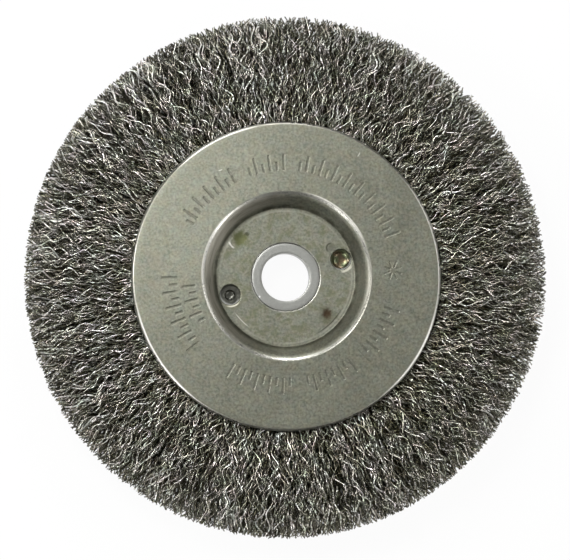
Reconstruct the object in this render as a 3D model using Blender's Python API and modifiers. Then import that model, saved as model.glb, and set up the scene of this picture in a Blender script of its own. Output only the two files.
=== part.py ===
"""A crimped wire wheel brush for a grinder: two pressed side plates that hold a ring of crimped steel wire.

The wheel lies flat on its wires. Its axis is +Z, and the origin is on the axis, halfway between the two faces.
The plates are the same pressing, one of them turned over, and both are drawn by their outer surface.
All lengths are in metres and all angles in degrees.
"""

import math

import bmesh
import bpy
import numpy as np

# Clearance between pieces that touch on the real wheel
CLEARANCE = 0.0003

# Two pins drive the wheel through these holes, and stop in sockets in the hub disc
PIN_CIRCLE_DIAMETER = 0.0385
PIN_HOLE_DIAMETER = 0.0068
PIN_SOCKET_DIAMETER = 0.0048
PIN_SOCKET_DEPTH = 0.0006
PIN_LINE_ANGLE = 18.0
PIN_SEGMENTS = 16

# Hub disc: a bushing that centres the wheel on its spindle, with a flange that reaches past the pin holes
BORE_DIAMETER = 0.015875
BUSHING_DIAMETER = 0.0222
BUSHING_SETBACK = 0.0003
FLANGE_THICKNESS = 0.0020
FLANGE_MARGIN = 0.0024
HUB_SEGMENTS = 40

# Side plates, pressed from sheet. The floor just takes in the pin holes, and a sloping wall rises from it to the lip
SHEET = 0.0012
FLOOR_MARGIN = 0.0003
WALL_RUN = 0.0049
RECESS_DEPTH = 0.0050
RIM_DIAMETER = 0.1016
RIM_DROP = 0.0012
SKIRT_DEPTH = 0.0020
CREASE_FILLET = 0.0012
LIP_FILLET = 0.0022
RIM_FILLET = 0.0015
PLATE_SEGMENTS = 48
CREASE_ARC_STEPS = 2
LIP_ARC_STEPS = 3
RIM_ARC_STEPS = 2

# Retaining ring that the wires are folded round
RING_WIRE_DIAMETER = 0.0038
FLANGE_TO_RING = 0.0041
RING_SEGMENTS = 36
RING_SIDES = 6

# Crimped wire
WHEEL_DIAMETER = 0.1720
FACE_WIDTH = 0.0190
TIP_ROUNDING = 0.0015
CRIMP_PITCH = 0.0093
CRIMP_HEIGHT = 0.0024
TUFTS = 104
TUFT_DEPTH = 0.0042
TUFT_DEPTH_AT_RIM = 0.0018
TIP_NOTCH = 0.0020
TIP_SCATTER = 0.0012
LAY_SCATTER = 0.0016
CRIMP_SHIFT = 0.40
LAY_SEED = 7


def half(size):
    return size / 2


# Heights above the middle plane, of the outer surface of a plate
FLOOR_HEIGHT = half(FLANGE_THICKNESS) + CLEARANCE + SHEET
LIP_HEIGHT = FLOOR_HEIGHT + RECESS_DEPTH
RIM_HEIGHT = LIP_HEIGHT - RIM_DROP
SKIRT_HEIGHT = RIM_HEIGHT - SKIRT_DEPTH
BUSHING_HEIGHT = FLOOR_HEIGHT - BUSHING_SETBACK

# Distances from the axis
PIN_REACH = half(PIN_CIRCLE_DIAMETER) + half(PIN_HOLE_DIAMETER)
FLANGE_RADIUS = PIN_REACH + FLANGE_MARGIN
FLOOR_RADIUS = PIN_REACH + FLOOR_MARGIN
LIP_RADIUS = FLOOR_RADIUS + WALL_RUN
RIM_RADIUS = half(RIM_DIAMETER)
RING_RADIUS = FLANGE_RADIUS + FLANGE_TO_RING + half(RING_WIRE_DIAMETER)

# The wires start just outside the ring and leave the plates under the edges of the skirts
WIRE_ROOT_RADIUS = RING_RADIUS + half(RING_WIRE_DIAMETER) + CLEARANCE
WIRE_EXIT_RADIUS = RIM_RADIUS
WIRE_EXIT_HEIGHT = SKIRT_HEIGHT - CLEARANCE


def new_collection(name, rendered=True):
    """A collection linked to the scene. Cutters go in one that isn't rendered."""
    collection = bpy.data.collections.new(name)
    collection.hide_render = not rendered
    bpy.context.scene.collection.children.link(collection)
    return collection


def new_material(name, colour, roughness, metallic=1.0):
    """A Principled material with one plain finish."""
    material = bpy.data.materials.new(name)
    material.use_nodes = True
    shader = material.node_tree.nodes["Principled BSDF"]
    shader.inputs["Base Color"].default_value = (*colour, 1.0)
    shader.inputs["Roughness"].default_value = roughness
    shader.inputs["Metallic"].default_value = metallic
    material.diffuse_color = (*colour, 1.0)
    return material


def add_object(name, mesh, collection, material=None):
    """An object that holds the mesh, in the collection."""
    piece = bpy.data.objects.new(name, mesh)
    if material:
        mesh.materials.append(material)
    collection.objects.link(piece)
    return piece


def adopt(piece, name, collection, material):
    """Names a primitive, gives it its material and moves it to its collection."""
    piece.name = piece.data.name = name
    piece.data.materials.append(material)
    for home in list(piece.users_collection):
        home.objects.unlink(piece)
    collection.objects.link(piece)
    piece.data.shade_smooth()


def profile_mesh(name, points, closed):
    """A mesh of edges through (radius, height) points, in the XZ plane at +X."""
    mesh = bpy.data.meshes.new(name)
    count = len(points)
    edges = [(i, (i + 1) % count) for i in range(count if closed else count - 1)]
    mesh.from_pydata([(radius, 0.0, height) for radius, height in points], edges, [])
    return mesh


def turn(piece, segments):
    """Turns the piece's profile about Z."""
    screw = piece.modifiers.new("Turn", "SCREW")
    screw.axis = "Z"
    screw.angle = math.tau
    screw.steps = screw.render_steps = segments
    screw.use_merge_vertices = True
    screw.merge_threshold = 0.00001
    screw.use_smooth_shade = True
    return screw


def cut(piece, cutter):
    """Takes the cutter's shape out of the piece."""
    boolean = piece.modifiers.new(cutter.name, "BOOLEAN")
    boolean.operation = "DIFFERENCE"
    boolean.solver = "EXACT"
    boolean.object = cutter


def rounded(start, corners, end):
    """The points of a line from start to end whose corners are rounded.

    Each corner is (point, radius, steps), and its arc touches both straight stretches beside it.
    """
    points = [start]
    stops = [start] + [corner[0] for corner in corners] + [end]
    for before, (corner, radius, steps), after in zip(stops, corners, stops[2:]):
        corner = np.array(corner)
        back = np.array(before) - corner
        on = np.array(after) - corner
        back /= np.linalg.norm(back)
        on /= np.linalg.norm(on)
        opening = math.acos(float(np.dot(back, on)))
        middle = (back + on) / np.linalg.norm(back + on)
        centre = corner + middle * radius / math.sin(opening / 2)
        first = corner + back * radius / math.tan(opening / 2) - centre
        last = corner + on * radius / math.tan(opening / 2) - centre
        sweep = math.pi - opening
        for step in range(steps + 1):
            part = step / steps
            arm = (math.sin((1 - part) * sweep) * first + math.sin(part * sweep) * last) / math.sin(sweep)
            points.append(tuple(centre + arm))
    points.append(end)
    return points


def cylinder_cutter(name, radius, low, high, at, collection):
    """A cylinder between two heights, standing at the (x, y) place."""
    mesh = bpy.data.meshes.new(name)
    shape = bmesh.new()
    bmesh.ops.create_cone(
        shape,
        cap_ends=True,
        segments=PIN_SEGMENTS,
        radius1=radius,
        radius2=radius,
        depth=high - low,
    )
    shape.to_mesh(mesh)
    shape.free()
    cutter = add_object(name, mesh, collection)
    cutter.location = (*at, (low + high) / 2)
    cutter.display_type = "WIRE"
    cutter.hide_render = True
    return cutter


def pin_places():
    """The (x, y) places of the two pins, on opposite sides of the bore."""
    angle = math.radians(PIN_LINE_ANGLE)
    x = half(PIN_CIRCLE_DIAMETER) * math.cos(angle)
    y = half(PIN_CIRCLE_DIAMETER) * math.sin(angle)
    return [(x, y), (-x, -y)]


def add_plates(parts, cutters, steel):
    """The two side plates: one pressing, and the same pressing turned over about the line of its pins."""
    outline = rounded(
        (half(BUSHING_DIAMETER) + CLEARANCE, FLOOR_HEIGHT),
        [
            ((FLOOR_RADIUS, FLOOR_HEIGHT), CREASE_FILLET, CREASE_ARC_STEPS),
            ((LIP_RADIUS, LIP_HEIGHT), LIP_FILLET, LIP_ARC_STEPS),
            ((RIM_RADIUS, RIM_HEIGHT), RIM_FILLET, RIM_ARC_STEPS),
        ],
        (RIM_RADIUS, SKIRT_HEIGHT),
    )
    holes = [
        cylinder_cutter(
            f"pin_hole_cutter_{number}",
            half(PIN_HOLE_DIAMETER),
            -LIP_HEIGHT,
            LIP_HEIGHT,
            place,
            cutters,
        )
        for number, place in enumerate(pin_places(), 1)
    ]
    for name, turned_over in (("face_plate_front", 0.0), ("face_plate_back", math.pi)):
        plate = add_object(name, profile_mesh(name, outline, closed=False), parts, steel)
        plate.rotation_euler = (turned_over, 0.0, math.radians(PIN_LINE_ANGLE))
        turn(plate, PLATE_SEGMENTS)
        sheet = plate.modifiers.new("Sheet", "SOLIDIFY")
        sheet.thickness = SHEET
        sheet.offset = -1.0
        sheet.use_even_offset = True
        for hole in holes:
            cut(plate, hole)


def add_hub_disc(parts, cutters, steel):
    """The bushing and its flange, turned in one piece, with a blind socket for each pin on both sides."""
    bore = half(BORE_DIAMETER)
    bushing = half(BUSHING_DIAMETER)
    step = half(FLANGE_THICKNESS)
    section = [
        (bore, BUSHING_HEIGHT),
        (bushing, BUSHING_HEIGHT),
        (bushing, step),
        (FLANGE_RADIUS, step),
        (FLANGE_RADIUS, -step),
        (bushing, -step),
        (bushing, -BUSHING_HEIGHT),
        (bore, -BUSHING_HEIGHT),
    ]
    disc = add_object("hub_disc", profile_mesh("hub_disc", section, closed=True), parts, steel)
    turn(disc, HUB_SEGMENTS)
    floor = step - PIN_SOCKET_DEPTH
    for number, place in enumerate(pin_places(), 1):
        for side, low, high in (("front", floor, LIP_HEIGHT), ("back", -LIP_HEIGHT, -floor)):
            name = f"pin_socket_cutter_{side}_{number}"
            cut(disc, cylinder_cutter(name, half(PIN_SOCKET_DIAMETER), low, high, place, cutters))


def add_retaining_ring(parts, steel):
    """The steel hoop inside the folds of the wires."""
    bpy.ops.mesh.primitive_torus_add(
        major_radius=RING_RADIUS,
        minor_radius=half(RING_WIRE_DIAMETER),
        major_segments=RING_SEGMENTS,
        minor_segments=RING_SIDES,
    )
    adopt(bpy.context.object, "retaining_ring", parts, steel)


def plate_underside(radius):
    """Height of the inner surface of a plate between its lip and its rim."""
    along = (radius - LIP_RADIUS) / (RIM_RADIUS - LIP_RADIUS)
    return LIP_HEIGHT - RIM_DROP * along - SHEET


def twice_round(generator, count, spread):
    """One random share of the spread for each tuft. The second half turn repeats the first."""
    once = generator.random(count // 2) * spread
    return np.tile(once, 2)


def add_wire_fill(parts, steel):
    """The crimped wires, fused to one ring.

    A torus gives the closed surface. Its points are moved to columns that run outwards from the ring to the tips.
    Every second column is the crest of a tuft, and the one between is the valley beside it. Along a column the
    points stand half a crimp apart and lean to one side and the other in turn, which is the crimp's zigzag. The
    bends of neighbouring tufts drift in and out round the wheel, and each tuft has its own length and height.
    """
    half_pitch = half(CRIMP_PITCH)
    visible = half(WHEEL_DIAMETER) - WIRE_EXIT_RADIUS
    bends = max(2, round(visible / half_pitch) - 1)
    columns = 2 * TUFTS
    stations = bends + 3

    bpy.ops.mesh.primitive_torus_add(major_segments=columns, minor_segments=2 * stations)
    ring = bpy.context.object
    adopt(ring, "wire_fill", parts, steel)

    generator = np.random.default_rng(LAY_SEED)
    shorter = twice_round(generator, TUFTS, TIP_SCATTER)
    lower = twice_round(generator, TUFTS, LAY_SCATTER)
    tuft = np.arange(columns) // 2
    crest = np.arange(columns) % 2 == 0
    angle = np.arange(columns) * math.tau / columns
    drift = CRIMP_SHIFT * (0.65 * np.sin(6 * angle) + 0.35 * np.sin(14 * angle))

    # Stations from the root outwards: the root, the exit from the plates, the bends and the tip
    bend = np.arange(1, bends + 1)
    inset = bend * visible / (bends + 1)
    radius = np.empty((columns, stations))
    radius[:, 0] = WIRE_ROOT_RADIUS
    radius[:, 1] = WIRE_EXIT_RADIUS
    radius[:, 2:-1] = WIRE_EXIT_RADIUS + inset + drift[:, None] * half_pitch
    radius[:, -1] = half(WHEEL_DIAMETER) - np.where(crest, 0.0, TIP_NOTCH) - shorter[tuft]

    lean = np.zeros((columns, stations))
    lean[:, 2:-1] = half(CRIMP_HEIGHT) * (-1.0) ** bend

    # The faces swell from the skirts to the full width at the last bend, then close to the tips
    reach = np.sin(bend / bends * math.pi / 2)
    depth = TUFT_DEPTH_AT_RIM + (TUFT_DEPTH - TUFT_DEPTH_AT_RIM) * reach
    height = np.empty((columns, stations))
    height[:, 0] = plate_underside(WIRE_ROOT_RADIUS) - CLEARANCE
    height[:, 1] = WIRE_EXIT_HEIGHT
    height[:, 2:-1] = WIRE_EXIT_HEIGHT + (half(FACE_WIDTH) - WIRE_EXIT_HEIGHT) * reach
    height[:, -1] = half(FACE_WIDTH) - TIP_ROUNDING
    height[:, 2:-1] -= np.where(crest[:, None], lower[tuft][:, None] * reach, depth)
    height[:, -1] -= np.where(crest, lower[tuft], TUFT_DEPTH)

    turned = angle[:, None] + lean / radius
    top = np.stack([radius * np.cos(turned), radius * np.sin(turned), height], axis=-1)
    bottom = top * (1.0, 1.0, -1.0)
    section = np.concatenate([bottom, top[:, ::-1]], axis=1)
    ring.data.vertices.foreach_set("co", section.astype(np.float32).ravel())
    ring.data.update()


def main():
    for old in list(bpy.data.objects):
        bpy.data.objects.remove(old, do_unlink=True)
    parts = new_collection("wire_wheel_brush")
    cutters = new_collection("cutters", rendered=False)
    plate_steel = new_material("plate_steel", (0.30, 0.29, 0.27), 0.42)
    hub_steel = new_material("hub_steel", (0.42, 0.43, 0.45), 0.38)
    ring_steel = new_material("ring_steel", (0.35, 0.35, 0.35), 0.45)
    wire_steel = new_material("wire_steel", (0.24, 0.24, 0.22), 0.40)
    add_plates(parts, cutters, plate_steel)
    add_hub_disc(parts, cutters, hub_steel)
    add_retaining_ring(parts, ring_steel)
    add_wire_fill(parts, wire_steel)


main()
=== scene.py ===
"""A crimped wire wheel brush, dressed on its CAD frame.

The wheel lies flat on a pale floor, with its axis along +Z and the origin on the axis, halfway through
its width. The two side plates and the hub disc are turned again with finer surfaces, and every crimped
wire is drawn singly. All lengths are in metres. Angles in the sizes are in degrees, counted
anticlockwise from +X seen from the front.
"""

import logging
import math
from dataclasses import dataclass
from enum import Enum
from functools import reduce
from typing import Any, Callable, Mapping, Optional, Sequence, Union

import bpy
import numpy as np
from mathutils import Matrix, Vector


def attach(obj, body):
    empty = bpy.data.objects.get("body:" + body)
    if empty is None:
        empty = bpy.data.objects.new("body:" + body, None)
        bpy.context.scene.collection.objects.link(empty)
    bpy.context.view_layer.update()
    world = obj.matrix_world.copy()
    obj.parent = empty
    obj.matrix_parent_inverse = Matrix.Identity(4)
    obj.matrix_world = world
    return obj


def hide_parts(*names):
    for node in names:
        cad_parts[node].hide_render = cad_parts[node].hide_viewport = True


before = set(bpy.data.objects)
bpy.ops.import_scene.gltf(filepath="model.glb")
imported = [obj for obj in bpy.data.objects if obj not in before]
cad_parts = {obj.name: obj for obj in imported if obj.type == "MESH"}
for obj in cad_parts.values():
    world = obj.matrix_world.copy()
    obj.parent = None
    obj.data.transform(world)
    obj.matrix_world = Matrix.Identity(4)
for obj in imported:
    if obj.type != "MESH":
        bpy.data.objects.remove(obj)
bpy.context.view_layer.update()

log = logging.getLogger("wire_wheel_brush")

IMAGE_SIZE = (570, 560)
BODY = "root"

Colour = tuple[float, float, float]
Number = Union[float, "Signal"]
Array = np.ndarray
Material = bpy.types.Material
Mesh = bpy.types.Mesh
Socket = bpy.types.NodeSocket


class Face(Enum):
    """A side of the wheel, with the sign of its heights."""

    FRONT = 1
    BACK = -1


def polar(angle: float, reach: float) -> tuple[float, float]:
    """The (x, y) place at an angle in degrees and a distance from the axis."""
    turn = math.radians(angle)
    return reach * math.cos(turn), reach * math.sin(turn)


def arc_span(start: float, end: float) -> tuple[float, float]:
    """The middle of an arc between two angles in degrees, and half its width, in radians."""
    return math.radians((start + end) / 2), math.radians((end - start) / 2)


def link_object(name: str, data: bpy.types.ID) -> bpy.types.Object:
    """A new object of the data, linked to the scene.

    Args:
        name: The object's name.
        data: Its mesh, light or camera.

    Returns:
        The object.
    """
    made = bpy.data.objects.new(name, data)
    bpy.context.scene.collection.objects.link(made)
    return made


def arithmetic(operation: str, swapped: bool = False) -> Callable[["Signal", Number], "Signal"]:
    """A method of Signal that adds a Math node, with self as the second number where swapped.

    Args:
        operation: The Math node's operation.
        swapped: Whether self comes second.

    Returns:
        The method.
    """

    def apply(self: "Signal", other: Number) -> "Signal":
        """The node's result for self and other."""
        values = (other, self) if swapped else (self, other)
        return self.graph.maths(operation, *values)

    return apply


class Signal:
    """A number that a shader node gives out, with Python's arithmetic on it."""

    __add__ = arithmetic("ADD")
    __radd__ = arithmetic("ADD", swapped=True)
    __sub__ = arithmetic("SUBTRACT")
    __rsub__ = arithmetic("SUBTRACT", swapped=True)
    __mul__ = arithmetic("MULTIPLY")
    __rmul__ = arithmetic("MULTIPLY", swapped=True)
    __truediv__ = arithmetic("DIVIDE")

    def __init__(self, graph: "Graph", socket: Socket) -> None:
        """Wraps one output socket of the graph."""
        self.graph = graph
        self.socket = socket

    def __abs__(self) -> "Signal":
        """The size of self without its sign."""
        return self.graph.maths("ABSOLUTE", self)


@dataclass(frozen=True)
class Noise:
    """The look of a noise about 0.5, with a cell of one over the scale, in metres."""

    scale: float
    detail: float
    roughness: float


class Graph:
    """A node tree under construction, for a material or the world."""

    def __init__(self, tree: bpy.types.NodeTree) -> None:
        """Takes over the tree and empties it."""
        self.tree = tree
        self.tree.nodes.clear()

    def node(
        self,
        kind: str,
        settings: Optional[Mapping[str, Any]] = None,
        inputs: Optional[Mapping[Union[str, int], Any]] = None,
    ) -> bpy.types.Node:
        """Adds one node.

        Args:
            kind: The node's type.
            settings: Its own settings, by name.
            inputs: A value, socket or signal for each input, by name or index.

        Returns:
            The new node.
        """
        made = self.tree.nodes.new(kind)
        for name, value in (settings or {}).items():
            setattr(made, name, value)
        for name, value in (inputs or {}).items():
            if isinstance(value, Signal):
                value = value.socket
            if isinstance(value, Socket):
                self.tree.links.new(value, made.inputs[name])
            else:
                made.inputs[name].default_value = value
        return made

    def maths(self, operation: str, *values: Number) -> Signal:
        """A Math node of the operation on the values."""
        made = self.node("ShaderNodeMath", {"operation": operation}, dict(enumerate(values)))
        return Signal(self, made.outputs[0])

    def highest(self, *values: Signal) -> Signal:
        """The highest of the values."""
        return reduce(lambda first, second: self.maths("MAXIMUM", first, second), values)

    def length(self, x: Number, y: Number) -> Signal:
        """The distance of (x, y) from the origin."""
        return self.maths("SQRT", x * x + y * y)

    def turn_from(self, middle: float, x: Signal, y: Signal) -> Signal:
        """The angle of (x, y) round the origin in radians, counted from the middle one.

        Args:
            middle: The angle to count from.
            x: The place along X.
            y: The place along Y.

        Returns:
            The angle, from -pi to pi.
        """
        ahead = x * math.cos(middle) + y * math.sin(middle)
        beside = y * math.cos(middle) - x * math.sin(middle)
        return self.maths("ARCTAN2", beside, ahead)

    def smoothstep(self, value: Number, low: float, high: float) -> Signal:
        """0 below low and 1 above high, rising smoothly. It falls where high is below low.

        Args:
            value: The number to judge.
            low: Where the rise starts.
            high: Where it ends.

        Returns:
            The share, from 0 to 1.
        """
        if high < low:
            return 1.0 - self.smoothstep(value, high, low)
        inputs = {0: value, 1: low, 2: high, 3: 0.0, 4: 1.0}
        made = self.node("ShaderNodeMapRange", {"interpolation_type": "SMOOTHSTEP"}, inputs)
        return Signal(self, made.outputs[0])

    def window(self, value: Number, low: float, high: float, soft: float) -> Signal:
        """1 between low and high, with edges that are twice soft wide.

        Args:
            value: The number to judge.
            low: The middle of the first edge.
            high: The middle of the second edge.
            soft: Half of an edge's width.

        Returns:
            The mask, from 0 to 1.
        """
        rise = self.smoothstep(value, low - soft, low + soft)
        fall = self.smoothstep(value, high + soft, high - soft)
        return rise * fall

    def strokes(self, cell: Signal, pitch: float, reach: Signal, width: float, soft: float) -> Signal:
        """1 in radial strokes of the width, one in the middle of each cell of the pitch in radians."""
        across = abs(self.maths("FRACT", cell) - 0.5) * pitch * reach
        return self.smoothstep(across, width / 2 + soft, width / 2 - soft)

    def combine(self, x: Number, y: Number, z: Number) -> Socket:
        """One vector from three numbers."""
        return self.node("ShaderNodeCombineXYZ", None, {0: x, 1: y, 2: z}).outputs[0]

    def blend(self, factor: Number, first: Any, second: Any, how: str = "MIX") -> Socket:
        """The first colour with the second laid over it by the factor.

        Args:
            factor: 0 for the first colour and 1 for the second.
            first: A colour or a colour socket.
            second: A colour or a colour socket.
            how: The Mix node's blend type.

        Returns:
            The mixed colour's socket.
        """
        first, second = [(*c, 1.0) if isinstance(c, tuple) else c for c in (first, second)]
        settings = {"data_type": "RGBA", "blend_type": how}
        return self.node("ShaderNodeMix", settings, {0: factor, 6: first, 7: second}).outputs[2]

    def tint(self, colour: Any, red: Number, green: Number, blue: Number) -> Socket:
        """The colour with its red, green and blue multiplied."""
        return self.blend(1.0, colour, self.combine(red, green, blue), "MULTIPLY")

    def bump(self, height: Signal) -> Socket:
        """A normal from a height in millimetres."""
        return self.node("ShaderNodeBump", None, {"Distance": 0.001, "Height": height}).outputs[0]


class Coating(Graph):
    """A material under construction, with the place in Object coordinates that it shades."""

    def __init__(self, name: str) -> None:
        """Makes the empty material and takes its place apart.

        Args:
            name: The material's name.
        """
        self.material = bpy.data.materials.new(name)
        self.material.use_nodes = True
        super().__init__(self.material.node_tree)
        self.place = self.node("ShaderNodeTexCoord").outputs["Object"]
        split = self.node("ShaderNodeSeparateXYZ", None, {0: self.place}).outputs
        self.x, self.y = Signal(self, split[0]), Signal(self, split[1])
        self.reach = self.length(self.x, self.y)

    def noise(self, look: Noise, place: Optional[Socket] = None) -> Signal:
        """The noise at the coating's own place or at another one.

        Args:
            look: The noise's cell, detail and roughness.
            place: The other place.

        Returns:
            The noise.
        """
        inputs = {"Scale": look.scale, "Detail": look.detail, "Roughness": look.roughness}
        inputs["Vector"] = place or self.place
        return Signal(self, self.node("ShaderNodeTexNoise", None, inputs).outputs[0])

    def steel(self, colour: Any, roughness: Any, **others: Any) -> Material:
        """Closes the material with a metallic Principled shader.

        Args:
            colour: The base colour's socket.
            roughness: The roughness.
            others: More inputs of the shader, with underscores for spaces.

        Returns:
            The finished material.
        """
        inputs = {"Base Color": colour, "Roughness": roughness, "Metallic": 1.0}
        inputs.update({key.replace("_", " "): value for key, value in others.items()})
        shader = self.node("ShaderNodeBsdfPrincipled", None, inputs)
        self.node("ShaderNodeOutputMaterial", None, {"Surface": shader.outputs[0]})
        return self.material


@dataclass(frozen=True)
class Band:
    """A ring round the axis between two distances, with soft edges."""

    inner: float
    outer: float
    soft: float

    def mask(self, coat: Coating) -> Signal:
        """1 in the ring."""
        return coat.window(coat.reach, self.inner, self.outer, self.soft)


@dataclass(frozen=True)
class Spot:
    """A round patch centred at an angle and a reach from the axis, full out to its size less soft."""

    angle: float
    reach: float
    size: float
    soft: float

    def mask(self, coat: Coating, ragged: Optional[Signal] = None) -> Signal:
        """1 inside the patch.

        Args:
            coat: The material under construction.
            ragged: Added to the distance from the centre, to break up the edge.

        Returns:
            The mask, from 0 to 1.
        """
        across, along = polar(self.angle, self.reach)
        distance = coat.length(coat.x - across, coat.y - along)
        if ragged is not None:
            distance = distance + ragged
        return coat.smoothstep(distance, self.size, self.size - self.soft)


@dataclass(frozen=True)
class ArcMark:
    """A curved mark, bright or dark: an arc, from start to end, of a ring round an angle and reach."""

    angle: float
    reach: float
    radius: float
    width: float
    start: float
    end: float
    colour: Colour

    def mask(self, coat: Coating) -> Signal:
        """1 on the mark, thinning to its ends.

        Args:
            coat: The material under construction.

        Returns:
            The mask, from 0 to 1.
        """
        across, along = polar(self.angle, self.reach)
        x, y = coat.x - across, coat.y - along
        middle, span = arc_span(self.start, self.end)
        taper = coat.smoothstep(abs(coat.turn_from(middle, x, y)), span, span * 0.4)
        away = abs(coat.length(x, y) - self.radius)
        return coat.smoothstep(away, self.width * 0.7, self.width * 0.2) * taper


def axis_arc(radius: float, width: float, start: float, end: float, colour: Colour) -> ArcMark:
    """A mark along a circle round the axis, such as the rim."""
    return ArcMark(0.0, 0.0, radius, width, start, end, colour)


@dataclass(frozen=True)
class TickRow:
    """A row of plain stamped ticks along an arc, a long one and a short one in turn."""

    start: float
    end: float
    low: float
    high: float
    pitch: float = 3.6
    stroke: float = 0.00075
    soft: float = 0.00022
    short_share: float = 0.52

    def mask(self, coat: Coating) -> Signal:
        """1 in the strokes.

        The angle from the row's middle is divided into pitches. Whether the whole number of pitches is
        even picks a short stroke or a long one.

        Args:
            coat: The material under construction.

        Returns:
            The mask, from 0 to 1.
        """
        pitch = math.radians(self.pitch)
        middle, span = arc_span(self.start, self.end)
        turn = coat.turn_from(middle, coat.x, coat.y)
        cell = turn / pitch
        bar = coat.strokes(cell, pitch, coat.reach, self.stroke, self.soft)
        odd = coat.maths("GREATER_THAN", coat.maths("FLOORED_MODULO", cell, 2.0), 1.0)
        short_top = self.low + (self.high - self.low) * self.short_share
        tall = coat.window(coat.reach, self.low, self.high, self.soft)
        short = coat.window(coat.reach, self.low, short_top, self.soft)
        inside = coat.maths("LESS_THAN", abs(turn), span)
        return bar * (tall * odd + short * (1.0 - odd)) * inside


@dataclass(frozen=True)
class Star:
    """Eight short stamped strokes round a point."""

    angle: float = 3.4
    reach: float = 0.0351
    inner: float = 0.0009
    outer: float = 0.0031
    stroke: float = 0.00055
    soft: float = 0.0002

    def mask(self, coat: Coating) -> Signal:
        """1 in the strokes, each the middle of an eighth of a turn between two distances.

        Args:
            coat: The material under construction.

        Returns:
            The mask, from 0 to 1.
        """
        across, along = polar(self.angle, self.reach)
        x, y = coat.x - across, coat.y - along
        away = coat.length(x, y)
        eighth = math.tau / 8
        cell = coat.maths("ARCTAN2", y, x) / eighth
        bar = coat.strokes(cell, eighth, away, self.stroke, self.soft)
        return bar * coat.window(away, self.inner, self.outer, self.soft)


Layer = tuple[Signal, Colour]


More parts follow.
